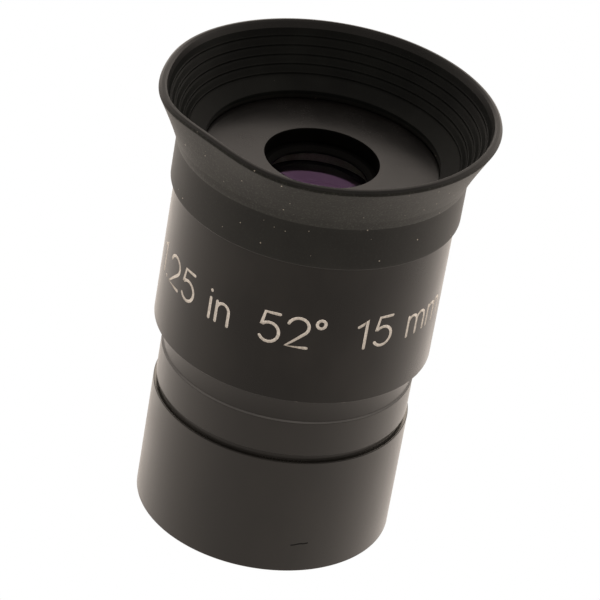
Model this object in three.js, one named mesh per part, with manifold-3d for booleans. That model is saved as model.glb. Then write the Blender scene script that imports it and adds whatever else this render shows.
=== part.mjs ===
// A 1.25 inch Plossl telescope eyepiece: a rubber eyecup on a turned housing, a cell with two
// cemented doublets, a sliding field stop, and a push-in barrel that screws into the housing.
// Units are millimetres. +Z runs along the optical axis from the telescope to the eye, and the
// origin is the centre of the barrel's lower end. Azimuth 0 is -Y and grows towards +X.
import * as THREE from "three";
import { mergeVertices } from "three/addons/utils/BufferGeometryUtils.js";
import Module from "manifold-3d";

const wasm = await Module();
wasm.setup();

// Driving dimensions
const FOCAL_LENGTH = 15;
const BARREL_R = 31.75 / 2; // the 1.25 inch push-in standard
const INSERTION_LENGTH = 25.55; // barrel end to housing shoulder, about one inch
const BARREL_TOP = 16.1; // top of the barrel's full-width part
const BODY_R = 17.04;
const BODY_TOP = 44.55;
const SPIGOT_R = 16.0; // the housing's end under the eyecup
const EYE_FACE_Z = 49.45; // flat face round the eye opening
const EYE_OPENING_R = 6.9;
const CUP_SLEEVE_R = 17.6;
const CUP_CREASE_Z = 50.25; // where the soft flare starts
const CUP_RIM_R = 21.2;
const CUP_RIM_Z = 56.9;

// Fits and edges
const SEAT_GAP = 0.05; // faces that bear on each other
const RUNNING_GAP = 0.08; // radial, where one piece turns or slides in another
const CEMENT = 0.02; // film between cemented lens surfaces
const FINE_EDGE = 0.1; // broken edges of the turned pieces
const SOFT_EDGE = 0.2; // the rubber's foot

// Facets round the axis
const OUTSIDE_FACETS = 60;
const INSIDE_FACETS = 48;
const GLASS_FACETS = 32;

// Threads
const BARREL_THREAD = { crestR: 14.5, depth: 0.4, pitch: 0.75, turns: 4 };
const FILTER_THREAD = { crestR: 13.92, depth: 0.33, pitch: 0.6, turns: 5 };
const FILTER_THREAD_START = 0.7;
const FILTER_MOUTH_DEPTH = 0.3; // plain counterbore below the filter thread

// Neck and bores of the housing
const NECK_GAP = 0.85; // the open groove between barrel and neck
const NECK_BOTTOM = BARREL_TOP + NECK_GAP;
const NECK_LOWER_R = 15.62;
const NECK_UPPER_R = 15.42;
const NECK_STEP_Z = 21.65;
const THREAD_BORE_R = BARREL_THREAD.crestR + RUNNING_GAP;
const MAIN_BORE_R = 13.2;
const CAP_SEAT_Z = 47.55;
const CAP_R = 14.5;
const CAP_BEVEL = 0.35;

// Barrel
const GAP_FLOOR_R = 15.25; // the stop collar in the open groove between barrel and neck
const BARREL_BORE_R = 13.6;
const BARREL_THROAT_R = 13.0;
const BARREL_THROAT_Z = BARREL_TOP - 0.6;
const BARREL_TIP_Z = NECK_BOTTOM - SEAT_GAP + BARREL_THREAD.pitch * BARREL_THREAD.turns;

// Glass: each doublet is a biconvex crown cemented to a weak negative flint, crown facing crown
const LENS_R = 7.3;
const OUTER_RADIUS = 8 * FOCAL_LENGTH; // hollow
const CEMENTED_RADIUS = FOCAL_LENGTH;
const INNER_RADIUS = 0.814 * FOCAL_LENGTH;
const FLINT_THICKNESS = 0.09 * FOCAL_LENGTH;
const CROWN_THICKNESS = 0.33 * FOCAL_LENGTH;
const DOUBLET_GAP = 0.025 * FOCAL_LENGTH;
const BACK_FOCUS = 0.725 * FOCAL_LENGTH; // from the field lens to the image it magnifies
const EYE_VERTEX_Z = 46.3;
const CROWN_GAP_Z = EYE_VERTEX_Z - FLINT_THICKNESS - CROWN_THICKNESS - DOUBLET_GAP / 2;
const FIELD_VERTEX_Z = 2 * CROWN_GAP_Z - EYE_VERTEX_Z;
const SPACER_WALL = 0.6;

// Lens cell and its rings
const CELL_BOTTOM = 31.05;
const CELL_TOP = CAP_SEAT_Z - SEAT_GAP;
const CELL_COLLAR_R = MAIN_BORE_R - RUNNING_GAP;
const CELL_COLLAR_HEIGHT = 3.2;
const CELL_WAIST_R = 9.6;
const CELL_LENS_BORE_R = LENS_R + SEAT_GAP;
const RETAINER_R = 8.0;
const RETAINER_BORE_R = RETAINER_R + RUNNING_GAP;
const RETAINER_BEVEL = 0.5;
const EYE_RETAINER_TOP = 47.35;
const EYE_RETAINER_HOLE_R = 5.9;
const FIELD_RETAINER_BOTTOM = 31.35;
const FIELD_RETAINER_HOLE_R = 6.3;
const LOCK_RING_TOP = CELL_BOTTOM - SEAT_GAP;
const LOCK_RING_BOTTOM = LOCK_RING_TOP - 1.8;
const LOCK_RING_HOLE_R = 11.2;
const SPANNER_SLOT = { width: 1.6, depth: 0.45, reach: 1.1 };

// Field stop
const SLEEVE_BOTTOM = BARREL_TIP_Z + SEAT_GAP;
const SLEEVE_TOP = LOCK_RING_BOTTOM - SEAT_GAP;
const SLEEVE_FOOT_TOP = NECK_STEP_Z - 0.2;
const SLEEVE_FOOT_R = THREAD_BORE_R - 0.35;
const SLEEVE_BORE_R = 11.6;
const STOP_POCKET_R = 12.4;
const STOP_TOP = FIELD_VERTEX_Z - BACK_FOCUS;
const STOP_R = 0.44 * FOCAL_LENGTH; // 52 degrees of apparent field
const STOP_THICKNESS = 0.9;
const KNIFE_EDGE = 0.15;

// Eyecup
const CUP_SLEEVE_BOTTOM = BODY_TOP + SEAT_GAP;
const CUP_FLANGE_R = 14.2;
const CUP_FLANGE_TOP = 50.5;
const CUP_LIP_R = 0.65; // the rim's rounded outer edge
const CUP_LIP_STEPS = 3;
const CUP_LIP_INSIDE = { reach: 0.28, drop: 0.17 }; // its broken inner edge
const CUP_TRUMPET = 1.15; // how much of the flare's widening comes late
const CUP_TRUMPET_STEPS = 5;
const CUP_INNER_SLOPE = 0.8; // radius gained per millimetre of height
const CUP_INNER_FOOT_R = 15.48; // the inner cone's radius at the crease
const CUP_GROOVES = { top: 55.35, spacing: 0.9, count: 5, ledge: 0.12, undercut: 0.28, height: 0.42 };
const CUP_SOFT_HEIGHT = 1.2; // over which the flare bends away from the crease
const CUP_DENTS = [
  { azimuth: -44, tilt: 13.9, halfWidth: 24.9 },
  { azimuth: 58, tilt: 7.4, halfWidth: 65.7 },
  { azimuth: -97.6, tilt: 5.5, halfWidth: 24 },
  { azimuth: 145.8, tilt: 2.9, halfWidth: 23.1 },
];

// Turns a closed outline of [radius, z] pairs, given anticlockwise with radius to the right.
function turned(outline, facets) {
  const points = outline.map(([r, z]) => new THREE.Vector2(r, z));
  points.push(points[0].clone());
  return new THREE.LatheGeometry(points, facets).rotateX(Math.PI / 2);
}

function welded(geometry) {
  const bare = geometry.index ? geometry.toNonIndexed() : geometry.clone();
  bare.deleteAttribute("normal");
  bare.deleteAttribute("uv");
  return mergeVertices(bare, 1e-4);
}

function solid(geometry) {
  const shared = welded(geometry);
  const vertProperties = new Float32Array(shared.attributes.position.array);
  const triVerts = new Uint32Array(shared.index.array);
  return new wasm.Manifold(new wasm.Mesh({ numProp: 3, vertProperties, triVerts }));
}

function cutFrom(geometry, cutters) {
  let result = solid(geometry);
  for (const cutter of cutters) result = result.subtract(solid(cutter));
  const mesh = result.getMesh();
  const cut = new THREE.BufferGeometry();
  cut.setAttribute("position", new THREE.BufferAttribute(mesh.vertProperties, 3));
  cut.setIndex(new THREE.BufferAttribute(mesh.triVerts, 1));
  cut.computeVertexNormals();
  return cut;
}

// Root and crest points of a thread drawn as rings, from z upwards. side is 1 for a thread on a
// rod, whose roots lie inwards, and -1 for one in a bore.
function threadProfile({ crestR, depth, pitch, turns }, z, side) {
  const points = [];
  for (let i = 0; i < turns; i++) {
    points.push([crestR - side * depth, z + pitch * (i + 0.5)]);
    points.push([crestR, z + pitch * (i + 1)]);
  }
  return points;
}

function barrel() {
  const mouthR = FILTER_THREAD.crestR + FILTER_THREAD.depth + FINE_EDGE;
  const filterTop = FILTER_THREAD_START + FILTER_THREAD.pitch * FILTER_THREAD.turns;
  const spigotBase = NECK_BOTTOM - SEAT_GAP;
  const filterThread = threadProfile(FILTER_THREAD, FILTER_THREAD_START, -1).reverse();
  return turned([
    [BARREL_R - FINE_EDGE, 0],
    [BARREL_R, FINE_EDGE],
    [BARREL_R, BARREL_TOP - FINE_EDGE],
    [BARREL_R - FINE_EDGE, BARREL_TOP],
    [GAP_FLOOR_R, BARREL_TOP],
    [GAP_FLOOR_R, spigotBase],
    [BARREL_THREAD.crestR, spigotBase],
    ...threadProfile(BARREL_THREAD, spigotBase, 1),
    [BARREL_THROAT_R, BARREL_TIP_Z],
    [BARREL_THROAT_R, BARREL_THROAT_Z],
    [BARREL_BORE_R, BARREL_THROAT_Z - (BARREL_BORE_R - BARREL_THROAT_R)],
    [BARREL_BORE_R, filterTop + FILTER_THREAD.pitch / 2],
    ...filterThread,
    [FILTER_THREAD.crestR, FILTER_THREAD_START],
    [mouthR, FILTER_MOUTH_DEPTH],
    [mouthR, 0],
  ], OUTSIDE_FACETS);
}

function housing() {
  const capBoreR = CAP_R + SEAT_GAP;
  return turned([
    [THREAD_BORE_R, NECK_BOTTOM],
    [NECK_LOWER_R - FINE_EDGE, NECK_BOTTOM],
    [NECK_LOWER_R, NECK_BOTTOM + FINE_EDGE],
    [NECK_LOWER_R, NECK_STEP_Z],
    [NECK_UPPER_R, NECK_STEP_Z + NECK_LOWER_R - NECK_UPPER_R],
    [NECK_UPPER_R, INSERTION_LENGTH],
    [BODY_R - FINE_EDGE, INSERTION_LENGTH],
    [BODY_R, INSERTION_LENGTH + FINE_EDGE],
    [BODY_R, BODY_TOP - FINE_EDGE],
    [BODY_R - FINE_EDGE, BODY_TOP],
    [SPIGOT_R, BODY_TOP],
    [SPIGOT_R, EYE_FACE_Z - FINE_EDGE],
    [SPIGOT_R - FINE_EDGE, EYE_FACE_Z],
    [capBoreR, EYE_FACE_Z],
    [capBoreR, CAP_SEAT_Z],
    [MAIN_BORE_R, CAP_SEAT_Z],
    [MAIN_BORE_R, NECK_STEP_Z],
    [THREAD_BORE_R, NECK_STEP_Z],
  ], OUTSIDE_FACETS);
}

function eyeCap() {
  return turned([
    [EYE_OPENING_R, CAP_SEAT_Z + SEAT_GAP],
    [CAP_R, CAP_SEAT_Z + SEAT_GAP],
    [CAP_R, EYE_FACE_Z - CAP_BEVEL],
    [CAP_R - CAP_BEVEL, EYE_FACE_Z],
    [EYE_OPENING_R + FINE_EDGE, EYE_FACE_Z],
    [EYE_OPENING_R, EYE_FACE_Z - FINE_EDGE],
  ], INSIDE_FACETS);
}

function lensCell() {
  const eyeBoreFloor = lensFace(EYE_VERTEX_Z, OUTER_RADIUS, 1)(LENS_R) - SEAT_GAP;
  const fieldBoreRoof = 2 * CROWN_GAP_Z - eyeBoreFloor;
  return turned([
    [RETAINER_BORE_R, CELL_BOTTOM],
    [CELL_COLLAR_R, CELL_BOTTOM],
    [CELL_COLLAR_R, CELL_BOTTOM + CELL_COLLAR_HEIGHT],
    [CELL_WAIST_R, CELL_BOTTOM + CELL_COLLAR_HEIGHT],
    [CELL_WAIST_R, CELL_TOP - CELL_COLLAR_HEIGHT],
    [CELL_COLLAR_R, CELL_TOP - CELL_COLLAR_HEIGHT],
    [CELL_COLLAR_R, CELL_TOP],
    [RETAINER_BORE_R, CELL_TOP],
    [RETAINER_BORE_R, eyeBoreFloor],
    [CELL_LENS_BORE_R, eyeBoreFloor],
    [CELL_LENS_BORE_R, fieldBoreRoof],
    [RETAINER_BORE_R, fieldBoreRoof],
  ], INSIDE_FACETS);
}

// Height of a spherical face at a given radius. bulge is 1 for a face whose middle is its lowest
// point, and -1 where the middle is its highest.
function lensFace(vertexZ, faceRadius, bulge) {
  return (r) => vertexZ + bulge * (faceRadius - Math.sqrt(faceRadius ** 2 - r ** 2));
}

// A lens turned from its lower and upper face, as functions of radius.
function lens(lower, upper) {
  const steps = 4;
  const radii = Array.from({ length: steps + 1 }, (_, i) => (LENS_R * i) / steps);
  const points = radii.map((r) => new THREE.Vector2(r, lower(r)));
  for (const r of radii.reverse()) points.push(new THREE.Vector2(r, upper(r)));
  return new THREE.LatheGeometry(points, GLASS_FACETS).rotateX(Math.PI / 2);
}

// The doublet on one side of the cell's middle plane: side is 1 for the eye, -1 for the field.
function doublet(side) {
  const innerZ = CROWN_GAP_Z + (side * DOUBLET_GAP) / 2;
  const cementedZ = innerZ + side * CROWN_THICKNESS;
  const outerZ = cementedZ + side * FLINT_THICKNESS;
  const inner = lensFace(innerZ, INNER_RADIUS, side);
  const crownSide = lensFace(cementedZ, CEMENTED_RADIUS, -side);
  const flintSide = (r) => crownSide(r) + side * CEMENT;
  const outer = lensFace(outerZ, OUTER_RADIUS, side);
  const stacked = (near, far) => (side > 0 ? lens(near, far) : lens(far, near));
  return { crown: stacked(inner, crownSide), flint: stacked(flintSide, outer) };
}

function lensSpacer() {
  const innerR = LENS_R - SPACER_WALL;
  const halfHeight = lensFace(DOUBLET_GAP / 2, INNER_RADIUS, 1)(innerR) - CEMENT;
  return turned([
    [innerR, CROWN_GAP_Z - halfHeight],
    [LENS_R, CROWN_GAP_Z - halfHeight],
    [LENS_R, CROWN_GAP_Z + halfHeight],
    [innerR, CROWN_GAP_Z + halfHeight],
  ], GLASS_FACETS);
}

// A ring with two slots across its outer part, which a lens spanner turns it by.
function slottedRing(outline, ringR, faceZ) {
  const { width, depth, reach } = SPANNER_SLOT;
  const slots = [-1, 1].map((side) =>
    new THREE.BoxGeometry(2 * reach, width, 2 * depth).translate(side * ringR, 0, faceZ),
  );
  return cutFrom(turned(outline, INSIDE_FACETS), slots);
}

function eyeRetainer() {
  const bottom = lensFace(EYE_VERTEX_Z, OUTER_RADIUS, 1)(LENS_R) + SEAT_GAP;
  const outline = [
    [EYE_RETAINER_HOLE_R, bottom],
    [RETAINER_R, bottom],
    [RETAINER_R, EYE_RETAINER_TOP],
    [EYE_RETAINER_HOLE_R + RETAINER_BEVEL, EYE_RETAINER_TOP],
    [EYE_RETAINER_HOLE_R, EYE_RETAINER_TOP - RETAINER_BEVEL],
  ];
  return slottedRing(outline, RETAINER_R, EYE_RETAINER_TOP);
}

function fieldRetainer() {
  const top = lensFace(FIELD_VERTEX_Z, OUTER_RADIUS, -1)(LENS_R) - SEAT_GAP;
  const outline = [
    [FIELD_RETAINER_HOLE_R + RETAINER_BEVEL, FIELD_RETAINER_BOTTOM],
    [RETAINER_R, FIELD_RETAINER_BOTTOM],
    [RETAINER_R, top],
    [FIELD_RETAINER_HOLE_R, top],
    [FIELD_RETAINER_HOLE_R, FIELD_RETAINER_BOTTOM + RETAINER_BEVEL],
  ];
  return slottedRing(outline, RETAINER_R, FIELD_RETAINER_BOTTOM);
}

// Holds the lens cell up against the eye cap, so that it stays when the barrel comes off.
function cellLockRing() {
  const outline = [
    [LOCK_RING_HOLE_R, LOCK_RING_BOTTOM],
    [CELL_COLLAR_R, LOCK_RING_BOTTOM],
    [CELL_COLLAR_R, LOCK_RING_TOP],
    [LOCK_RING_HOLE_R, LOCK_RING_TOP],
  ];
  return slottedRing(outline, CELL_COLLAR_R, LOCK_RING_BOTTOM);
}

function fieldStopSleeve() {
  const pocketTop = STOP_TOP + SEAT_GAP;
  const sleeveR = MAIN_BORE_R - RUNNING_GAP;
  return turned([
    [STOP_POCKET_R, SLEEVE_BOTTOM],
    [SLEEVE_FOOT_R, SLEEVE_BOTTOM],
    [SLEEVE_FOOT_R, SLEEVE_FOOT_TOP],
    [sleeveR, SLEEVE_FOOT_TOP],
    [sleeveR, SLEEVE_TOP],
    [SLEEVE_BORE_R, SLEEVE_TOP],
    [SLEEVE_BORE_R, pocketTop],
    [STOP_POCKET_R, pocketTop],
  ], INSIDE_FACETS);
}

// A thin disc with a knife edge at the image plane.
function fieldStop() {
  const bottom = STOP_TOP - STOP_THICKNESS;
  return turned([
    [STOP_R + STOP_THICKNESS - KNIFE_EDGE, bottom],
    [STOP_POCKET_R - SEAT_GAP, bottom],
    [STOP_POCKET_R - SEAT_GAP, STOP_TOP],
    [STOP_R, STOP_TOP],
    [STOP_R, STOP_TOP - KNIFE_EDGE],
  ], INSIDE_FACETS);
}

// The soft flare as it stands, pushed inwards on the near side by storage and handling.
function dentedFlare(geometry) {
  const position = geometry.attributes.position;
  for (let i = 0; i < position.count; i++) {
    const x = position.getX(i);
    const y = position.getY(i);
    const height = position.getZ(i) - CUP_CREASE_Z;
    if (height <= 0) continue;
    const radius = Math.hypot(x, y);
    const azimuth = THREE.MathUtils.radToDeg(Math.atan2(x, -y));
    const softness = THREE.MathUtils.smoothstep(height, 0, CUP_SOFT_HEIGHT);
    const tilt = softness * THREE.MathUtils.degToRad(flareTilt(azimuth));
    const outward = radius - CUP_SLEEVE_R;
    const newRadius = CUP_SLEEVE_R + outward * Math.cos(tilt) - height * Math.sin(tilt);
    const newHeight = outward * Math.sin(tilt) + height * Math.cos(tilt);
    position.setXYZ(i, (x * newRadius) / radius, (y * newRadius) / radius, CUP_CREASE_Z + newHeight);
  }
  return geometry;
}

// Degrees by which the flare leans inwards at an azimuth in degrees.
function flareTilt(azimuth) {
  return CUP_DENTS.reduce((sum, dent) => {
    const distance = Math.abs(azimuth - dent.azimuth);
    const wrapped = Math.min(distance, 360 - distance);
    return sum + dent.tilt * Math.exp(-((wrapped / dent.halfWidth) ** 2));
  }, 0);
}

// The flare's outside, from the crease to the rim: a cone with a slight trumpet curve.
function trumpet(topZ) {
  const points = [];
  for (let i = 0; i <= CUP_TRUMPET_STEPS; i++) {
    const rise = i / CUP_TRUMPET_STEPS;
    const r = CUP_SLEEVE_R + (CUP_RIM_R - CUP_SLEEVE_R) * rise ** CUP_TRUMPET;
    points.push([r, CUP_CREASE_Z + (topZ - CUP_CREASE_Z) * rise]);
  }
  return points;
}

// The quarter turn from the flare's outside over to the top of the rim.
function lip() {
  const points = [];
  for (let i = 1; i <= CUP_LIP_STEPS; i++) {
    const angle = ((Math.PI / 2) * i) / CUP_LIP_STEPS;
    const r = CUP_RIM_R - CUP_LIP_R * (1 - Math.cos(angle));
    points.push([r, CUP_RIM_Z - CUP_LIP_R * (1 - Math.sin(angle))]);
  }
  return points;
}

function eyecup() {
  const innerR = (z) => CUP_INNER_FOOT_R + CUP_INNER_SLOPE * (z - CUP_CREASE_Z);
  const sleeveBoreR = SPIGOT_R + RUNNING_GAP;
  const flangeBottom = EYE_FACE_Z + SEAT_GAP;
  const lipTopR = CUP_RIM_R - CUP_LIP_R;
  return dentedFlare(
    turned([
      [sleeveBoreR, CUP_SLEEVE_BOTTOM],
      [CUP_SLEEVE_R - SOFT_EDGE, CUP_SLEEVE_BOTTOM],
      [CUP_SLEEVE_R, CUP_SLEEVE_BOTTOM + SOFT_EDGE],
      ...trumpet(CUP_RIM_Z - CUP_LIP_R),
      ...lip(),
      [lipTopR - CUP_LIP_INSIDE.reach, CUP_RIM_Z - CUP_LIP_INSIDE.drop],
      ...innerSteps(innerR),
      [CUP_FLANGE_R, CUP_FLANGE_TOP],
      [CUP_FLANGE_R, flangeBottom],
      [sleeveBoreR, flangeBottom],
    ], OUTSIDE_FACETS),
  );
}

// The moulded steps down the flare's inside: under each narrow ledge the wall is undercut, and
// then comes back to the cone.
function innerSteps(innerR) {
  const { top, spacing, count, ledge, undercut, height } = CUP_GROOVES;
  const points = [];
  for (let i = 0; i < count; i++) {
    const z = top - i * spacing;
    points.push([innerR(z), z]);
    points.push([innerR(z) - ledge, z - ledge / 4]);
    points.push([innerR(z) - ledge, z - undercut]);
    points.push([innerR(z - height), z - height]);
  }
  return points;
}

const BLACK_ANODISED = { color: 0x141312, roughness: 0.42, metalness: 0.6 };
const SATIN_BLACK = { color: 0x1c1a19, roughness: 0.55, metalness: 0.3 };
const MATT_BLACK = { color: 0x0c0c0c, roughness: 0.85, metalness: 0 };
const RUBBER = { color: 0x1b1a1a, roughness: 0.9, metalness: 0 };
const GLASS = { color: 0xdfe6e8, roughness: 0.03, metalness: 0, transparent: true, opacity: 0.35 };
const COATED_GLASS = { ...GLASS, color: 0x6a4c8a };

function piece(name, geometry, finish) {
  const mesh = new THREE.Mesh(geometry, new THREE.MeshStandardMaterial(finish));
  mesh.name = name;
  return mesh;
}

const eyeDoublet = doublet(1);
const fieldDoublet = doublet(-1);

const opticalGroup = new THREE.Group();
opticalGroup.add(
  piece("lens_cell", lensCell(), MATT_BLACK),
  piece("eye_lens_retainer", eyeRetainer(), SATIN_BLACK),
  piece("eye_doublet_flint", eyeDoublet.flint, COATED_GLASS),
  piece("eye_doublet_crown", eyeDoublet.crown, GLASS),
  piece("lens_spacer", lensSpacer(), MATT_BLACK),
  piece("field_doublet_crown", fieldDoublet.crown, GLASS),
  piece("field_doublet_flint", fieldDoublet.flint, COATED_GLASS),
  piece("field_lens_retainer", fieldRetainer(), SATIN_BLACK),
  piece("cell_lock_ring", cellLockRing(), SATIN_BLACK),
);

const fieldStopGroup = new THREE.Group();
fieldStopGroup.add(
  piece("field_stop_sleeve", fieldStopSleeve(), MATT_BLACK),
  piece("field_stop", fieldStop(), MATT_BLACK),
);

const eyepiece = new THREE.Group();
eyepiece.add(
  piece("housing", housing(), BLACK_ANODISED),
  piece("eye_cap", eyeCap(), SATIN_BLACK),
  piece("eyecup", eyecup(), RUBBER),
  piece("barrel", barrel(), BLACK_ANODISED),
  opticalGroup,
  fieldStopGroup,
);

export default eyepiece;
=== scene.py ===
"""A 1.25 inch Plossl telescope eyepiece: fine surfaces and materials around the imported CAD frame.
Azimuth 0 is -Y and grows towards +X. Lengths are metres."""

import math
from collections import namedtuple

import bmesh
import bpy
import numpy as np
from mathutils import Matrix, Vector


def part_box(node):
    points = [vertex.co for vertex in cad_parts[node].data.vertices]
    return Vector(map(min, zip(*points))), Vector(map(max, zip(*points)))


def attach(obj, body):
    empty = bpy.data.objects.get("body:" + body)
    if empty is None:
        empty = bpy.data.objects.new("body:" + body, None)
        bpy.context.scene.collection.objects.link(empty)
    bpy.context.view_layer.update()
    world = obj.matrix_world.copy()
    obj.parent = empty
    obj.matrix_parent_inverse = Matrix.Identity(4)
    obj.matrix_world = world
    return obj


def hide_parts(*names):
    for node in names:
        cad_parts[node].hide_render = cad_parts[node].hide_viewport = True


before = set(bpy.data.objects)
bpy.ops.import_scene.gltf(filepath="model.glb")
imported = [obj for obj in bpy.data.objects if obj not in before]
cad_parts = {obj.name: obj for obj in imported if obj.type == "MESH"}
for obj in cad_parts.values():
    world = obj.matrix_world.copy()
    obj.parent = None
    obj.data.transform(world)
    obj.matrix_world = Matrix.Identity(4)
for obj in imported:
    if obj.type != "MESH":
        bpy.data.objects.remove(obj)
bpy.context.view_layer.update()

MM = 0.001
TURN = 2 * math.pi
TOUCH = 0.001 * MM  # points closer than this are one point

# Segments round the axis
OUTSIDE_SEGMENTS = 256
INSIDE_SEGMENTS = 128

# Screw threads, which the CAD has as rings or, in the neck, as a plain bore: the crest's radius, the
# depth, the pitch and the heights between which the thread runs. side is 1 on a rod, -1 in a bore.
Thread = namedtuple("Thread", "crest depth pitch low high side")
FILTER_THREAD = Thread(13.92 * MM, 0.33 * MM, 0.6 * MM, 0.7 * MM, 3.7 * MM, -1)
BARREL_THREAD = Thread(14.5 * MM, 0.4 * MM, 0.75 * MM, 16.9 * MM, 19.9 * MM, 1)
NECK_MARGIN = 0.3 * MM  # plain bore beyond each end of the neck's thread
NECK_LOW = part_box("housing")[0].z + NECK_MARGIN
NECK_THREAD = Thread(14.58 * MM, 0.35 * MM, 0.75 * MM, NECK_LOW, 21.45 * MM, -1)
POINTS_PER_PITCH = 8
FLANK_SLOPE = 1.25  # over 1, which leaves flats at crest and root
CREST_FLAT = 0.1


# ---------------------------------------------------------------- outlines


def cad_section(node):
    """The outline of a turned CAD node as (radius, z) vectors, read where its wall faces +Y.
    It runs anticlockwise with radius to the right, and starts and ends on the axis if the node
    is solid there."""
    mesh = bmesh.new()
    mesh.from_mesh(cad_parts[node].data)
    bmesh.ops.remove_doubles(mesh, verts=mesh.verts, dist=TOUCH)
    links = {}
    for edge in mesh.edges:
        if all(abs(v.co.x) < TOUCH and v.co.y > -TOUCH for v in edge.verts):
            a, b = edge.verts
            links.setdefault(a, []).append(b)
            links.setdefault(b, []).append(a)
    ends = [v for v, near in links.items() if len(near) == 1]
    start = min(ends or links, key=lambda v: (v.co.z, v.co.y))
    order = [start]
    while True:
        unseen = [v for v in links[order[-1]] if v not in order]
        if not unseen:
            break
        order.append(unseen[0])
    points = [Vector((v.co.y, v.co.z)) for v in order]
    mesh.free()
    if not ends and signed_area(points) < 0:
        points.reverse()
    return points


def signed_area(points):
    return sum(a.cross(b) for a, b in zip(points, points[1:] + points[:1])) / 2


EDGE_SHARE = 0.45  # how much of an edge the rounding at each end may use
LEAST_TANGENT = 0.0001 * MM


def rounded(outline, radius, steps=3):
    """A closed outline with each corner turned into a small arc."""
    result = []
    count = len(outline)
    for i, corner in enumerate(outline):
        back = outline[i - 1] - corner
        on = outline[(i + 1) % count] - corner
        turn = math.pi - back.angle(on)
        tangent = min(radius * math.tan(turn / 2), EDGE_SHARE * back.length, EDGE_SHARE * on.length)
        if tangent < LEAST_TANGENT:
            result.append(corner)
            continue
        start = corner + back.normalized() * tangent
        end = corner + on.normalized() * tangent
        for k in range(steps + 1):
            t = k / steps
            result.append(start * (1 - t) ** 2 + corner * (2 * t * (1 - t)) + end * t**2)
    return result


def refined(outline, spacing, low=-1.0, high=1.0):
    """A closed outline with extra points along the edges that lie between two heights."""
    result = []
    for a, b in zip(outline, outline[1:] + outline[:1]):
        result.append(a)
        if min(a.y, b.y) < low or max(a.y, b.y) > high:
            continue
        pieces = max(1, round((b - a).length / spacing))
        result += [a.lerp(b, k / pieces) for k in range(1, pieces)]
    return result


def smoothed_thread(outline, thread):
    """The outline with a zigzag of thread rings replaced by evenly spaced points at the crest."""
    inner, outer = sorted((thread.crest, thread.crest - thread.side * thread.depth))
    inside = [
        inner - TOUCH < p.x < outer + TOUCH and thread.low - TOUCH < p.y < thread.high + TOUCH
        for p in outline
    ]
    first = next(i for i, hit in enumerate(inside) if hit and not inside[i - 1])
    turned = outline[first:] + outline[:first]
    hits = inside[first:] + inside[:first]
    run = next(i for i, hit in enumerate(hits) if not hit)
    upward = turned[run - 1].y > turned[0].y
    height = thread.high - thread.low
    steps = round(height * POINTS_PER_PITCH / thread.pitch)
    wall = [Vector((thread.crest, thread.low + height * k / steps)) for k in range(steps + 1)]
    return (wall if upward else wall[::-1]) + turned[run:]


# ---------------------------------------------------------------- meshes


def spun(name, outline, segments, material, reshape=None, closed=True):
    """A surface of revolution about the optical axis. reshape, if given, maps arrays of radius,
    height and azimuth to new radius and height. Its drawn_z keeps the height from before that."""
    profile = np.array([(p.x, p.y) for p in outline])
    count = len(profile)
    azimuth = np.arange(segments) * TURN / segments
    radius = np.repeat(profile[:, 0][None], segments, 0)
    height = np.repeat(profile[:, 1][None], segments, 0)
    around = np.repeat(azimuth[:, None], count, 1)
    if reshape:
        radius, height = reshape(radius, height, around)
    points = np.stack([radius * np.sin(around), -radius * np.cos(around), height], -1)
    faces = []
    last = count if closed else count - 1
    for j in range(segments):
        here, beside = j * count, ((j + 1) % segments) * count
        for k in range(last):
            up = (k + 1) % count
            faces.append((here + k, beside + k, beside + up, here + up))
    mesh = bpy.data.meshes.new(name)
    mesh.from_pydata(points.reshape(-1, 3), [], faces)
    drawn = mesh.attributes.new("drawn_z", "FLOAT", "POINT")
    drawn.data.foreach_set("value", np.tile(profile[:, 1], segments).astype(np.float32))
    if not closed:
        weld(mesh)
    return piece(name, mesh, material)


def weld(mesh):
    """Joins the points that lie on the axis."""
    work = bmesh.new()
    work.from_mesh(mesh)
    bmesh.ops.remove_doubles(work, verts=work.verts, dist=LEAST_TANGENT)
    work.to_mesh(mesh)
    work.free()


def piece(name, mesh, material):
    mesh.materials.append(material)
    mesh.shade_smooth()
    made = bpy.data.objects.new(name, mesh)
    bpy.context.scene.collection.objects.link(made)
    return made


def weighted(made):
    """Shading that keeps the wide faces flat and puts the turn in the small rounded edges."""
    modifier = made.modifiers.new("weighted_normals", "WEIGHTED_NORMAL")
    modifier.weight = 100
    modifier.keep_sharp = True
    return made


def stands_for(made, node, body):
    """made rides on the body, and shows in place of the CAD node, which it hides."""
    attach(made, body)
    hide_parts(node)
    return made


def helix(thread):
    """Cuts a right-hand thread into the wall at its crest radius, running out at both ends."""

    def reshape(radius, height, azimuth):
        turns = (height - thread.low) / thread.pitch - azimuth / TURN
        groove = 1 - np.abs(2 * (turns % 1) - 1)
        groove = np.clip(FLANK_SLOPE * groove - CREST_FLAT, 0, 1)
        run_in = np.clip((height - thread.low) / thread.pitch, 0, 1)
        run_out = np.clip((thread.high - height) / thread.pitch, 0, 1)
        on_wall = np.abs(radius - thread.crest) < TOUCH
        on_wall &= (height > thread.low - TOUCH) & (height < thread.high + TOUCH)
        return radius - thread.side * thread.depth * groove * run_in * run_out * on_wall, height

    return reshape


# ---------------------------------------------------------------- the soft flare

CREASE_Z = 50.25 * MM
CREASE_R = 17.6 * MM
SOFT_HEIGHT = 0.4 * MM  # over which the flare bends away from the crease
FLARE_HEIGHT = 7 * MM
WAVE_DEPTH = 0.03 * MM
DENTS = (  # azimuth, tilt and half width in degrees
    (-44, 13.9, 24.9),
    (58, 7.4, 65.7),
    (-97.6, 5.5, 24),
    (145.8, 2.9, 23.1),
)


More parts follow.
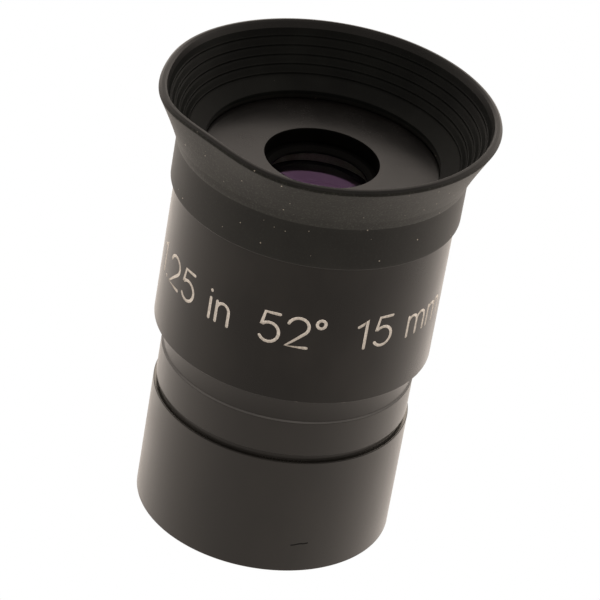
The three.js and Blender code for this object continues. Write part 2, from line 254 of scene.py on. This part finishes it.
def flare_tilt(azimuth):
    """Radians by which the flare leans inwards at each azimuth in radians."""
    total = np.zeros_like(azimuth)
    degrees = np.degrees(azimuth)
    for middle, tilt, half_width in DENTS:
        distance = np.abs((degrees - middle + 180) % 360 - 180)
        total += tilt * np.exp(-((distance / half_width) ** 2))
    return np.radians(total)


def dented(radius, height, azimuth):
    """The flare turned inwards about its crease, as the CAD eyecup is, with a slight wave that soft
    rubber takes."""
    above = np.clip(height - CREASE_Z, 0, None)
    ease = 1 - SOFT_HEIGHT / (2 * np.maximum(above, SOFT_HEIGHT))
    bend = np.where(above < SOFT_HEIGHT, above / (2 * SOFT_HEIGHT), ease)
    tilt = bend * flare_tilt(azimuth)
    outward = radius - CREASE_R
    new_radius = CREASE_R + outward * np.cos(tilt) - above * np.sin(tilt)
    new_height = CREASE_Z + outward * np.sin(tilt) + above * np.cos(tilt)
    raised = above > 0
    wave = WAVE_DEPTH * above / FLARE_HEIGHT * np.sin(5 * azimuth + 1.3) * np.sin(2 * azimuth)
    return np.where(raised, new_radius - wave, radius), np.where(raised, new_height, height)


# ---------------------------------------------------------------- engraving

TOOL_R = 0.22 * MM
TOOL_LIFT = 0.09 * MM
TUBE_SIDES = 10
CAP_RINGS = 3
SHARP_ANGLE = math.radians(35)
WALL_SLACK = 0.004 * MM
WALL_FACING = 0.995  # cosine between a wall's face and the true radius


def arc(centre_x, centre_y, radius_x, radius_y, start, end, steps):
    """Points of an elliptical arc. Angles are degrees, anticlockwise from +x."""
    points = []
    for k in range(steps + 1):
        angle = math.radians(start + (end - start) * k / steps)
        points.append((centre_x + radius_x * math.cos(angle), centre_y + radius_y * math.sin(angle)))
    return points


# Each glyph is its width and its strokes, in units of the figure height.
GLYPHS = {
    "1": (0.42, [[(0.06, 0.76), (0.2, 0.84), (0.32, 1.0), (0.32, 0.0)]]),
    "2": (0.68, [arc(0.34, 0.7, 0.31, 0.3, 165, -40, 12) + [(0.03, 0.0), (0.66, 0.0)]]),
    "5": (0.68, [[(0.6, 1.0), (0.16, 1.0), (0.08, 0.54)] + arc(0.33, 0.33, 0.31, 0.33, 135, -145, 14)]),
    ".": (0.12, [[(0.06, 0.0), (0.06, 0.012)]]),
    "i": (0.1, [[(0.05, 0.0), (0.05, 0.68)], [(0.05, 0.93), (0.05, 0.942)]]),
    "n": (0.5, [[(0.03, 0.0), (0.03, 0.68)], arc(0.25, 0.44, 0.22, 0.24, 180, 0, 8) + [(0.47, 0.0)]]),
    "m": (
        0.86,
        [
            [(0.03, 0.0), (0.03, 0.68)],
            arc(0.23, 0.46, 0.2, 0.22, 180, 0, 8) + [(0.43, 0.0)],
            arc(0.63, 0.46, 0.2, 0.22, 180, 0, 8) + [(0.83, 0.0)],
        ],
    ),
    "°": (0.3, [arc(0.15, 0.86, 0.13, 0.14, 90, 450, 12)]),
    " ": (0.3, []),
}


def lettering(text, middle, wall_r, base_z, height, gap=0.17):
    """Strokes of a line of text round a wall, as lists of (azimuth, z), centred on an azimuth."""
    width = sum(GLYPHS[c][0] + gap for c in text) - gap
    cursor = -width / 2
    strokes = []
    for character in text:
        advance, shapes = GLYPHS[character]
        for shape in shapes:
            strokes.append(
                [(middle + (cursor + x) * height / wall_r, base_z + y * height) for x, y in shape]
            )
        cursor += advance + gap
    return strokes


def stroke_tubes(name, strokes, path_r, tube_r, material):
    """Closed round-ended tubes that follow strokes over a wall."""
    vertices, faces = [], []
    for stroke in strokes:
        path = [Vector((path_r * math.sin(a), -path_r * math.cos(a), z)) for a, z in stroke]
        add_tube(vertices, faces, path, tube_r)
    mesh = bpy.data.meshes.new(name)
    mesh.from_pydata(vertices, [], faces)
    return piece(name, mesh, material)


def add_tube(vertices, faces, path, tube_r):
    """Appends one tube to the lists, with a half ball at each end."""
    rings = []
    for i, point in enumerate(path):
        ahead = path[min(i + 1, len(path) - 1)] - path[max(i - 1, 0)]
        rings.append((point, ahead.normalized(), tube_r))
    start, end = rings[0], rings[-1]
    slopes = [math.pi / 2 * (k + 0.5) / CAP_RINGS for k in range(CAP_RINGS)]
    caps = [(math.sin(a), math.cos(a)) for a in slopes]
    head = [(start[0] - start[1] * tube_r * s, start[1], tube_r * c) for s, c in reversed(caps)]
    tail = [(end[0] + end[1] * tube_r * s, end[1], tube_r * c) for s, c in caps]
    rings = head + rings + tail
    first = len(vertices)
    for centre, ahead, radius in rings:
        out = Vector((centre.x, centre.y, 0)).normalized()
        side = ahead.cross(out).normalized()
        out = side.cross(ahead).normalized()
        for k in range(TUBE_SIDES):
            angle = TURN * k / TUBE_SIDES
            vertices.append(centre + radius * (math.cos(angle) * out + math.sin(angle) * side))
    for i in range(len(rings) - 1):
        for k in range(TUBE_SIDES):
            a, b = first + i * TUBE_SIDES, first + (i + 1) * TUBE_SIDES
            n = (k + 1) % TUBE_SIDES
            faces.append((a + k, a + n, b + n, b + k))
    faces.append(tuple(first + k for k in reversed(range(TUBE_SIDES))))
    last = first + (len(rings) - 1) * TUBE_SIDES
    faces.append(tuple(last + k for k in range(TUBE_SIDES)))


def cut(made, tool):
    """Cuts the tool out of made, gives the cut faces the tool's material and throws the tool away."""
    modifier = made.modifiers.new("cut", "BOOLEAN")
    modifier.operation = "DIFFERENCE"
    modifier.solver = "EXACT"
    modifier.use_self = True
    modifier.material_mode = "TRANSFER"
    modifier.object = tool
    depsgraph = bpy.context.evaluated_depsgraph_get()
    result = bpy.data.meshes.new_from_object(made.evaluated_get(depsgraph))
    made.modifiers.clear()
    made.data = result
    bpy.data.objects.remove(tool)


def round_wall_normals(made, wall_r):
    """Gives the faces of a round wall their true normals, so that cuts in it leave no shading marks."""
    mesh = made.data
    mesh.set_sharp_from_angle(angle=SHARP_ANGLE)
    normals = np.array([loop.vector for loop in mesh.corner_normals])
    points = np.array([v.co for v in mesh.vertices])
    corners = np.zeros(len(mesh.loops), np.int32)
    mesh.loops.foreach_get("vertex_index", corners)
    face_of = np.repeat(np.arange(len(mesh.polygons)), [p.loop_total for p in mesh.polygons])
    face_normal = np.array([p.normal for p in mesh.polygons])[face_of]
    corner_points = points[corners]
    radius = np.hypot(corner_points[:, 0], corner_points[:, 1])
    outward = np.stack([corner_points[:, 0], corner_points[:, 1], np.zeros(len(radius))], -1)
    outward /= np.maximum(radius, TOUCH)[:, None]
    on_wall = (np.abs(radius - wall_r) < WALL_SLACK) & ((face_normal * outward).sum(-1) > WALL_FACING)
    normals[on_wall] = outward[on_wall]
    mesh.normals_split_custom_set(normals.tolist())


# ---------------------------------------------------------------- materials


# Textures, in repeats per metre along x, y and z
METAL_CLOUDS = (140, 140, 90)
METAL_GRAIN = (6000, 6000, 6000)
TURNING_MARKS = (60, 60, 9000)
KNOCKS = (420, 420, 420)
RUBBER_BLOOM = (160, 160, 160)
RUBBER_GRAIN = (4200, 4200, 4200)
DUST_CELLS = (1500, 1500, 1500)
PAINT_GRAIN = (4000, 4000, 4000)

# Bump depths
METAL_RELIEF = 0.002 * MM
PAINT_RELIEF = 0.004 * MM

DUST = (0.42, 0.38, 0.32)
BARE_METAL = (0.3, 0.28, 0.25)
GLASS_IOR = 1.52
WHITE = (1.0, 1.0, 1.0)


class Nodes:
    """Helpers that add nodes to a tree."""

    def __init__(self, tree):
        self.tree = tree
        self.coordinates = self.node("ShaderNodeTexCoord").outputs

    def node(self, kind, **settings):
        made = self.tree.nodes.new(kind)
        for key, value in settings.items():
            if key in made.inputs.keys():
                made.inputs[key].default_value = value
            else:
                setattr(made, key, value)
        return made

    def link(self, output, target):
        self.tree.links.new(output, target)
        return target

    def scaled(self, repeats):
        """The position on the object, in repeats per metre along each axis."""
        mapping = self.node("ShaderNodeMapping", Scale=repeats)
        self.link(self.coordinates["Object"], mapping.inputs["Vector"])
        return mapping.outputs["Vector"]

    def noise(self, repeats, detail=3.0, roughness=0.5):
        made = self.node("ShaderNodeTexNoise", Scale=1.0, Detail=detail, Roughness=roughness)
        self.link(self.scaled(repeats), made.inputs["Vector"])
        return made.outputs["Fac"]

    def maths(self, operation, a, b):
        made = self.node("ShaderNodeMath", operation=operation)
        for value, target in ((a, made.inputs[0]), (b, made.inputs[1])):
            if isinstance(value, bpy.types.NodeSocket):
                self.link(value, target)
            else:
                target.default_value = value
        return made.outputs[0]

    def ramp(self, factor, low, high, at_low=0.0, at_high=1.0):
        """A smooth step of factor from low to high."""
        made = self.node("ShaderNodeMapRange", interpolation_type="SMOOTHSTEP")
        self.link(factor, made.inputs["Value"])
        for key, value in (("From Min", low), ("From Max", high), ("To Min", at_low), ("To Max", at_high)):
            made.inputs[key].default_value = value
        return made.outputs["Result"]

    def mix(self, factor, a, b):
        made = self.node("ShaderNodeMix", data_type="RGBA")
        for value, target in ((factor, made.inputs[0]), (a, made.inputs[6]), (b, made.inputs[7])):
            if isinstance(value, bpy.types.NodeSocket):
                self.link(value, target)
            else:
                target.default_value = value if target is made.inputs[0] else (*value, 1.0)
        return made.outputs[2]

    def bump(self, height, distance, strength=1.0, under=None):
        made = self.node("ShaderNodeBump", Strength=strength, Distance=distance)
        self.link(height, made.inputs["Height"])
        if under is not None:
            self.link(under, made.inputs["Normal"])
        return made.outputs["Normal"]

    def axes(self, vector):
        """The x, y and z outputs of a vector."""
        made = self.node("ShaderNodeSeparateXYZ")
        self.link(vector, made.inputs[0])
        return made.outputs

    def weighed(self, start, value, weight):
        """start + value * weight."""
        return self.maths("ADD", self.maths("MULTIPLY", value, weight), start)

    def swing(self, start, noise, span):
        """start, moved up and down by a noise over a span."""
        return self.weighed(start, self.maths("SUBTRACT", noise, 0.5), span)

    def between(self, factor, a, b):
        """The number a where factor is 0, and b where it is 1."""
        rest = self.maths("SUBTRACT", 1.0, factor)
        return self.maths("ADD", self.maths("MULTIPLY", rest, a), self.maths("MULTIPLY", factor, b))

    def blend(self, factor, first, second):
        """The first shader where factor is 0, and the second where it is 1."""
        made = self.node("ShaderNodeMixShader")
        for value, target in zip((factor, first.outputs[0], second.outputs[0]), made.inputs):
            self.link(value, target)
        return made.outputs[0]


class Look(Nodes):
    """A node material under construction, on one principled shader."""

    def __init__(self, name, **inputs):
        self.material = bpy.data.materials.new(name)
        self.material.use_nodes = True
        super().__init__(self.material.node_tree)
        self.shader = self.tree.nodes["Principled BSDF"]
        self.output = self.tree.nodes["Material Output"]
        for key, value in inputs.items():
            self.shader.inputs[key.replace("_", " ")].default_value = value


def anodised(name, dark, light, roughness, specular, nicks=0.0, metallic=0.0):
    """Black anodised aluminium: a dark dyed coat with fine turning marks and slight clouding. nicks,
    if given, is the noise level above which knocked edges show bare metal. metallic is 1 where the
    coat is so thin that the metal shows."""
    look = Look(name, IOR=1.46, Specular_IOR_Level=specular, Metallic=metallic)
    clouds = look.noise(METAL_CLOUDS, detail=4.0)
    grain = look.noise(METAL_GRAIN, detail=2.0)
    lathe = look.noise(TURNING_MARKS, detail=3.0, roughness=0.7)
    colour = look.mix(look.ramp(clouds, 0.35, 0.7), dark, light)
    if nicks:
        knocks = look.noise(KNOCKS, detail=2.0)
        colour = look.mix(look.ramp(knocks, nicks, nicks + 0.06), colour, BARE_METAL)
    look.link(colour, look.shader.inputs["Base Color"])
    rough = look.swing(look.swing(roughness, clouds, 0.16), grain, 0.1)
    look.link(rough, look.shader.inputs["Roughness"])
    normal = look.bump(grain, METAL_RELIEF, 0.5)
    normal = look.bump(lathe, METAL_RELIEF, 0.6, under=normal)
    look.link(normal, look.shader.inputs["Normal"])
    return look.material


def rubber(name, dark, light, roughness, specular, graininess, grain_depth, dustiness=0.13):
    """Moulded black rubber with a fine grain, a dry bloom and specks of dust."""
    look = Look(name, IOR=1.5, Roughness=roughness, Specular_IOR_Level=specular)
    grain = look.noise(RUBBER_GRAIN, detail=2.0, roughness=0.6)
    bloom = look.noise(RUBBER_BLOOM, detail=4.0)
    colour = look.mix(look.ramp(bloom, 0.3, 0.75), dark, light)
    pale = tuple(2.4 * c for c in light)
    colour = look.mix(look.maths("MULTIPLY", look.ramp(grain, 0.5, 0.72), graininess), colour, pale)
    colour = look.mix(dust(look, dustiness), colour, DUST)
    look.link(colour, look.shader.inputs["Base Color"])
    look.link(look.bump(grain, grain_depth, 0.7), look.shader.inputs["Normal"])
    return look.material


def dust(look, widest):
    """1 on scattered specks in a fifth of the cells, where widest is the radius of the largest speck
    as a share of its cell."""
    cells = look.node("ShaderNodeTexVoronoi", feature="F1", Scale=1.0, Randomness=1.0)
    look.link(look.scaled(DUST_CELLS), cells.inputs["Vector"])
    pick = look.node("ShaderNodeSeparateColor")
    look.link(cells.outputs["Color"], pick.inputs[0])
    width = look.ramp(pick.outputs[0], 0.8, 1.0, 0.0, widest)
    return look.maths("LESS_THAN", cells.outputs["Distance"], width)


def glass(name, tint, shine):
    """Polished glass whose coating throws back a tinted part of what plain glass would."""
    look = Look(name)
    through = look.node("ShaderNodeBsdfRefraction", IOR=GLASS_IOR, Roughness=0.0)
    back = look.node("ShaderNodeBsdfGlossy", Color=(*tint, 1), Roughness=0.02)
    fresnel = look.node("ShaderNodeFresnel", IOR=GLASS_IOR).outputs["Fac"]
    surface = look.blend(look.maths("MULTIPLY", fresnel, shine), through, back)
    look.link(surface, look.output.inputs["Surface"])
    return look.material


def cement(name):
    """The clear film between two cemented lenses, which light crosses unbent."""
    look = Look(name)
    clear = look.node("ShaderNodeBsdfTransparent")
    look.link(clear.outputs[0], look.output.inputs["Surface"])
    return look.material


def matt_paint(name, colour, roughness):
    look = Look(name, Roughness=roughness)
    grain = look.noise(PAINT_GRAIN, detail=3.0)
    shade = look.mix(look.ramp(grain, 0.3, 0.7), tuple(c * 0.75 for c in colour), colour)
    look.link(shade, look.shader.inputs["Base Color"])
    look.link(look.bump(grain, PAINT_RELIEF, 0.6), look.shader.inputs["Normal"])
    return look.material


HOUSING_LOOK = anodised("housing_anodised", (0.0075, 0.0068, 0.0058), (0.0135, 0.0122, 0.0105), 0.31, 0.3)
BARREL_LOOK = anodised("barrel_anodised", (0.006, 0.0052, 0.004), (0.01, 0.0088, 0.0068), 0.35, 0.49)
LEDGE_LOOK = anodised("ledge_turned", (0.28, 0.27, 0.25), (0.32, 0.31, 0.29), 0.25, 0.5, metallic=1.0)
# Painted highlight: a light grey finish on the neck's step stands in for the light its edge catches.
STEP_HIGHLIGHT_LOOK = anodised("painted_step_highlight", (0.12, 0.12, 0.12), (0.16, 0.16, 0.158), 0.4, 0.5)
NICKED_LOOK = anodised("nicked_edge", (0.006, 0.0055, 0.005), (0.012, 0.011, 0.01), 0.35, 0.5, nicks=0.6)
CAP_LOOK = anodised("eye_cap_anodised", (0.004, 0.0037, 0.0036), (0.008, 0.0075, 0.0072), 0.24, 0.42)
RETAINER_LOOK = anodised("retainer_anodised", (0.003, 0.003, 0.003), (0.005, 0.005, 0.005), 0.6, 0.08)
# The eye cap's blackened bore, and painted shade: the same near-black, barely glossy finish darkens the
# housing's top outer edge under the eyecup sleeve.
BORE_BLACK_AND_SEAM_SHADE_LOOK = anodised("bore_black_and_seam_shade", (0.002, 0.002, 0.0018), (0.004, 0.004, 0.0035), 0.6, 0.05)
CELL_LOOK = matt_paint("cell_matt_black", (0.008, 0.008, 0.008), 0.7)
STOP_LOOK = matt_paint("stop_matt_black", (0.005, 0.005, 0.005), 0.9)
SLEEVE_LOOK = rubber(
    "eyecup_sleeve", (0.009, 0.0094, 0.0085), (0.0142, 0.0148, 0.013), 0.5, 0.2, 0.2, 0.008 * MM
)
FLARE_LOOK = rubber(
    "eyecup_flare", (0.0062, 0.0067, 0.0055), (0.0112, 0.012, 0.0097), 0.55, 0.22, 1.0, 0.035 * MM
)
INSIDE_LOOK = rubber(
    "eyecup_inside", (0.007, 0.0077, 0.0074), (0.012, 0.0132, 0.0122), 0.42, 0.06, 0.1, 0.004 * MM, 0.03
)
LIP_LOOK = rubber(
    "eyecup_lip", (0.006, 0.0062, 0.0058), (0.01, 0.0102, 0.0095), 0.4, 0.35, 0.2, 0.004 * MM, 0.03
)
PAINT_LOOK = matt_paint("marking_white", (0.88, 0.84, 0.78), 0.6)
SCRATCH_LOOK = matt_paint("scratch_dark", (0.004, 0.004, 0.004), 0.9)
EDGE_LOOK = matt_paint("lens_edge_ground", (0.48, 0.5, 0.44), 0.7)
COATED_LOOK = glass("coated_glass", (0.85, 0.5, 1.0), 0.6)
CLEAR_LOOK = glass("clear_glass", (0.9, 0.95, 1.0), 0.02)
CEMENT_LOOK = cement("lens_cement")


# ---------------------------------------------------------------- pieces

TURNED_EDGE = 0.05 * MM  # rounding of the turned pieces
BARREL_EDGE = 0.06 * MM
RUBBER_EDGE = 0.12 * MM
STOP_EDGE = 0.02 * MM
RUBBER_SPACING = 0.35 * MM

# Where one finish gives way to another
SHOULDER_Z = 25.5 * MM  # just under the body's lower face
# The housing's top edge, under the sleeve, which carries painted shade
BODY_TOP_Z = 44.55 * MM
# The neck's step, which carries a painted highlight
NECK_STEP = (21.66 * MM, 21.84 * MM)
NECK_STEP_R = 15.4 * MM
EDGE_REACH = (0.2 * MM, 0.14 * MM)  # across and along the axis
LEDGE_R = 14.9 * MM  # outside this, the barrel's upward faces are the ledge in the groove
INSIDE_START_Z = CREASE_Z - 0.3 * MM
LIP_Z = 55.9 * MM
BORE_R = 6.98 * MM

# The same by cosine: how far up a face has to look, and how far outwards it may lean
LEDGE_UP = 0.9
RUBBER_UP = -0.1
CEMENT_UP = 0.5
INSIDE_OUTWARD = 0.6
LIP_OUTWARD = 0.85

LENS_SHARP_ANGLE = math.radians(30)

FIGURE_HEIGHT = 4.0 * MM
FIGURE_BASE_Z = 33.25 * MM
MARKINGS = (("1.25 in", -52), ("52°", 0), ("15 mm", 52))  # with the azimuth of each middle

SCRATCH = [(16.5, 3.95), (18.0, 4.0), (19.2, 4.1), (20.6, 4.15), (22.2, 4.12), (23.8, 4.2)]
SCRATCH_R = 0.12 * MM
SCRATCH_LIFT = 0.06 * MM

SPANNER_SLOT = (1.1 * MM, 1.6 * MM, 0.45 * MM)  # inward from the rim, width and depth


def make_housing():
    low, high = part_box("housing")
    section = rounded(cad_section("housing"), TURNED_EDGE)
    spacing = NECK_THREAD.pitch / POINTS_PER_PITCH
    section = refined(section, spacing, low.z, NECK_THREAD.high + NECK_MARGIN)
    made = spun("housing_body", section, OUTSIDE_SEGMENTS, HOUSING_LOOK, helix(NECK_THREAD))
    body_r = high.x
    strokes = []
    for text, degrees in MARKINGS:
        strokes += lettering(text, math.radians(degrees), body_r, FIGURE_BASE_Z, FIGURE_HEIGHT)
    cut(made, stroke_tubes("cutter", strokes, body_r + TOOL_LIFT, TOOL_R, PAINT_LOOK))
    finish_faces(made, BARREL_LOOK, lambda face: face.center.z < SHOULDER_Z)
    # painted highlight on the neck's step
    finish_faces(made, STEP_HIGHLIGHT_LOOK, lambda face: on_neck_step(face.center))
    finish_faces(made, NICKED_LOOK, lambda face: on_edge(face.center, body_r, SHOULDER_Z))
    # painted shade on the housing's top outer edge, just under the sleeve
    finish_faces(made, BORE_BLACK_AND_SEAM_SHADE_LOOK, lambda face: on_edge(face.center, body_r, BODY_TOP_Z))
    round_wall_normals(made, body_r)
    return stands_for(made, "housing", "housing")


def on_neck_step(point):
    return NECK_STEP[0] < point.z < NECK_STEP[1] and point.xy.length > NECK_STEP_R


def on_edge(point, wall_r, edge_z):
    """True near the edge of a wall at a height."""
    across, along = EDGE_REACH
    return point.xy.length > wall_r - across and abs(point.z - edge_z) < along


def finish_faces(made, material, wanted):
    """Gives the wanted faces another material."""
    made.data.materials.append(material)
    index = len(made.data.materials) - 1
    for face in made.data.polygons:
        if wanted(face):
            face.material_index = index


def make_barrel():
    section = smoothed_thread(cad_section("barrel"), FILTER_THREAD)
    section = rounded(smoothed_thread(section, BARREL_THREAD), BARREL_EDGE)
    inner = helix(FILTER_THREAD)
    outer = helix(BARREL_THREAD)

    def both(radius, height, azimuth):
        return outer(*inner(radius, height, azimuth), azimuth)

    made = spun("barrel_tube", section, OUTSIDE_SEGMENTS, BARREL_LOOK, both)
    finish_faces(made, LEDGE_LOOK, on_ledge)
    path = [(math.radians(azimuth), z * MM) for azimuth, z in SCRATCH]
    path_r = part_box("barrel")[1].x + SCRATCH_LIFT
    cut(made, stroke_tubes("scratch", [path], path_r, SCRATCH_R, SCRATCH_LOOK))
    return stands_for(weighted(made), "barrel", "barrel")


def on_ledge(face):
    return face.normal.z > LEDGE_UP and face.center.xy.length > LEDGE_R


def make_eyecup():
    section = rounded(cad_section("eyecup"), RUBBER_EDGE, steps=4)
    section = refined(section, RUBBER_SPACING)
    made = weighted(spun("eyecup_rubber", section, OUTSIDE_SEGMENTS, SLEEVE_LOOK, dented))
    drawn = made.data.attributes["drawn_z"].data

    def inside(face):
        return face.center.z > INSIDE_START_Z and faces_in(face, INSIDE_OUTWARD)

    def on_lip(face):
        return min(drawn[v].value for v in face.vertices) > LIP_Z and faces_in(face, LIP_OUTWARD)

    finish_faces(made, FLARE_LOOK, lambda face: face.center.z > CREASE_Z)
    finish_faces(made, INSIDE_LOOK, inside)
    finish_faces(made, LIP_LOOK, on_lip)
    return stands_for(made, "eyecup", "eyecup")


def faces_in(face, most_outward):
    """True if a face looks up or towards the axis, or leans outwards by less than a given cosine."""
    outward = face.normal.xy.dot(face.center.xy.normalized())
    return outward < most_outward and face.normal.z > RUBBER_UP


def make_turned(name, node, body, material, segments=INSIDE_SEGMENTS, edge=TURNED_EDGE):
    made = weighted(spun(name, rounded(cad_section(node), edge), segments, material))
    return stands_for(made, node, body)


def make_eye_cap():
    made = make_turned("eye_cap_plate", "eye_cap", "housing", CAP_LOOK, OUTSIDE_SEGMENTS)
    finish_faces(made, BORE_BLACK_AND_SEAM_SHADE_LOOK, lambda face: face.center.xy.length < BORE_R)


def make_slotted(name, node, face_z):
    """A turned ring with two spanner slots across the outer part of one end face."""
    inward, width, depth = SPANNER_SLOT
    made = spun(name, rounded(cad_section(node), TURNED_EDGE), INSIDE_SEGMENTS, RETAINER_LOOK)
    outer_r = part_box(node)[1].x
    for side in (-1, 1):
        slot = box_mesh("slot", (2 * inward, width, 2 * depth), (side * outer_r, 0, face_z))
        cut(made, slot)
    return stands_for(weighted(made), node, "housing")


def box_mesh(name, size, middle):
    work = bmesh.new()
    bmesh.ops.create_cube(work, matrix=Matrix.LocRotScale(middle, None, size))
    mesh = bpy.data.meshes.new(name)
    work.to_mesh(mesh)
    work.free()
    return piece(name, mesh, RETAINER_LOOK)


def lens_outline(node, steps=24):
    """A lens outline with true spherical faces through the CAD lens's middles and edges."""
    points = cad_section(node)
    edge_r = max(p.x for p in points)
    edge = [p for p in points if p.x > edge_r - TOUCH]
    low_face = face_arc(points[0].y, edge[0], steps)
    high_face = face_arc(points[-1].y, edge[-1], steps)
    return low_face + high_face[::-1]


def face_arc(vertex_z, edge, steps):
    sag = edge.y - vertex_z
    face_r = (edge.x**2 + sag**2) / (2 * abs(sag))
    bulge = math.copysign(1, sag)
    radii = [edge.x * k / steps for k in range(steps + 1)]
    return [Vector((r, vertex_z + bulge * (face_r - math.sqrt(face_r**2 - r**2)))) for r in radii]


def make_lens(name, node, material, cemented):
    """A lens with a ground edge. cemented is 1 if its upper face is cemented, and -1 for the lower."""
    made = spun(name, lens_outline(node), INSIDE_SEGMENTS, material, closed=False)
    edge_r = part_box(node)[1].x

    def on_rim(face):
        return min(made.data.vertices[v].co.xy.length for v in face.vertices) > edge_r - 2 * TOUCH

    finish_faces(made, EDGE_LOOK, on_rim)
    finish_faces(made, CEMENT_LOOK, lambda face: cemented * face.normal.z > CEMENT_UP)
    made.data.set_sharp_from_angle(angle=LENS_SHARP_ANGLE)
    return stands_for(made, node, "housing")


make_housing()
make_barrel()
make_eyecup()
make_eye_cap()
make_turned("lens_cell_tube", "lens_cell", "housing", CELL_LOOK)
make_slotted("eye_lens_ring", "eye_lens_retainer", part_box("eye_lens_retainer")[1].z)
make_slotted("field_lens_ring", "field_lens_retainer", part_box("field_lens_retainer")[0].z)
make_slotted("cell_ring", "cell_lock_ring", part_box("cell_lock_ring")[0].z)
make_turned("lens_spacer_ring", "lens_spacer", "housing", CELL_LOOK)
make_turned("field_stop_tube", "field_stop_sleeve", "field_stop_tube", STOP_LOOK)
make_turned("field_stop_ring", "field_stop", "field_stop_tube", STOP_LOOK, edge=STOP_EDGE)
make_lens("eye_lens_flint", "eye_doublet_flint", COATED_LOOK, -1)
make_lens("eye_lens_crown", "eye_doublet_crown", CLEAR_LOOK, 1)
make_lens("field_lens_crown", "field_doublet_crown", CLEAR_LOOK, -1)
make_lens("field_lens_flint", "field_doublet_flint", COATED_LOOK, 1)


# ---------------------------------------------------------------- stage

# The camera stands in front of the eyepiece and above it. Angles are degrees.
CAMERA_DISTANCE = 500.9 * MM
CAMERA_AIM_Z = 25.15 * MM
CAMERA_ELEVATION = 31.9
CAMERA_PAN = -0.042
CAMERA_TILT = 0.407
CAMERA_ROLL = 10.05
CAMERA_LENS = 245.8
CAMERA_SENSOR = 36
CAMERA_CLIP = (0.01, 50)

FLOOR_SIZE = 8.0
FLOOR_DROP = 0.02 * MM

# The light on the eyepiece, level with it, and what it gains from behind and from below
LIGHT_LEVEL = 0.9
LIGHT_BEHIND = 0.55
LIGHT_BELOW = 0.62
LIGHT_LEAST = 0.4
LIGHT_TINT = (1.12, 1.0, 0.9)
SEEN_LEVEL = 1.05  # of the surround behind the eyepiece, just past white


def make_camera():
    """A long lens from above the near side, rolled so that the eyepiece leans to the right."""
    rise = math.radians(CAMERA_ELEVATION)
    to_camera = Vector((0, -math.cos(rise), math.sin(rise)))
    right = Vector((1, 0, 0))
    axes = Matrix((right, to_camera.cross(right), to_camera)).transposed()
    pan = Matrix.Rotation(math.radians(CAMERA_PAN), 3, "Y")
    tilt = Matrix.Rotation(math.radians(CAMERA_TILT), 3, "X")
    roll = Matrix.Rotation(math.radians(CAMERA_ROLL), 3, "Z")
    data = bpy.data.cameras.new("camera")
    data.lens = CAMERA_LENS
    data.sensor_width = CAMERA_SENSOR
    data.clip_start, data.clip_end = CAMERA_CLIP
    camera = bpy.data.objects.new("camera", data)
    place = (axes @ pan @ tilt @ roll).to_4x4()
    place.translation = to_camera * CAMERA_DISTANCE + Vector((0, 0, CAMERA_AIM_Z))
    camera.matrix_world = place
    bpy.context.scene.collection.objects.link(camera)
    bpy.context.scene.camera = camera


def make_floor():
    """A plain white floor without shadows, which keeps under the barrel when the barrel unscrews.
    Only the camera sees it, and only from above; the eyepiece sees the surround's own lower half."""
    look = Look("floor_white")
    glow = look.node("ShaderNodeEmission", Color=(*WHITE, 1), Strength=1.0)
    clear = look.node("ShaderNodeBsdfTransparent")
    from_below = look.node("ShaderNodeNewGeometry").outputs["Backfacing"]
    look.link(look.blend(from_below, glow, clear), look.output.inputs["Surface"])
    mesh = bpy.data.meshes.new("floor")
    half = FLOOR_SIZE / 2
    corners = [(-half, -half, 0), (half, -half, 0), (half, half, 0), (-half, half, 0)]
    mesh.from_pydata(corners, [], [(0, 1, 2, 3)])
    mesh.materials.append(look.material)
    floor = bpy.data.objects.new("floor", mesh)
    bpy.context.scene.collection.objects.link(floor)
    floor.location.z = -FLOOR_DROP
    floor.visible_diffuse = False
    floor.visible_glossy = False
    floor.visible_transmission = False
    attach(floor, "barrel")


def make_light():
    """Soft light all round, from a white surround that is bright below and behind the eyepiece and
    dim above and in front. The camera sees it as plain white."""
    world = bpy.data.worlds.new("studio")
    world.use_nodes = True
    nodes = Nodes(world.node_tree)
    _, behind, above = nodes.axes(nodes.coordinates["Generated"])
    level = nodes.weighed(LIGHT_LEVEL, behind, LIGHT_BEHIND)
    level = nodes.weighed(level, above, -LIGHT_BELOW)
    level = nodes.maths("MAXIMUM", level, LIGHT_LEAST)
    seen = nodes.node("ShaderNodeLightPath").outputs["Is Camera Ray"]
    background = world.node_tree.nodes["Background"]
    nodes.link(nodes.mix(seen, LIGHT_TINT, WHITE), background.inputs["Color"])
    nodes.link(nodes.between(seen, level, SEEN_LEVEL), background.inputs["Strength"])
    bpy.context.scene.world = world
    bpy.context.scene.view_settings.view_transform = "Standard"


make_camera()
make_floor()
make_light()
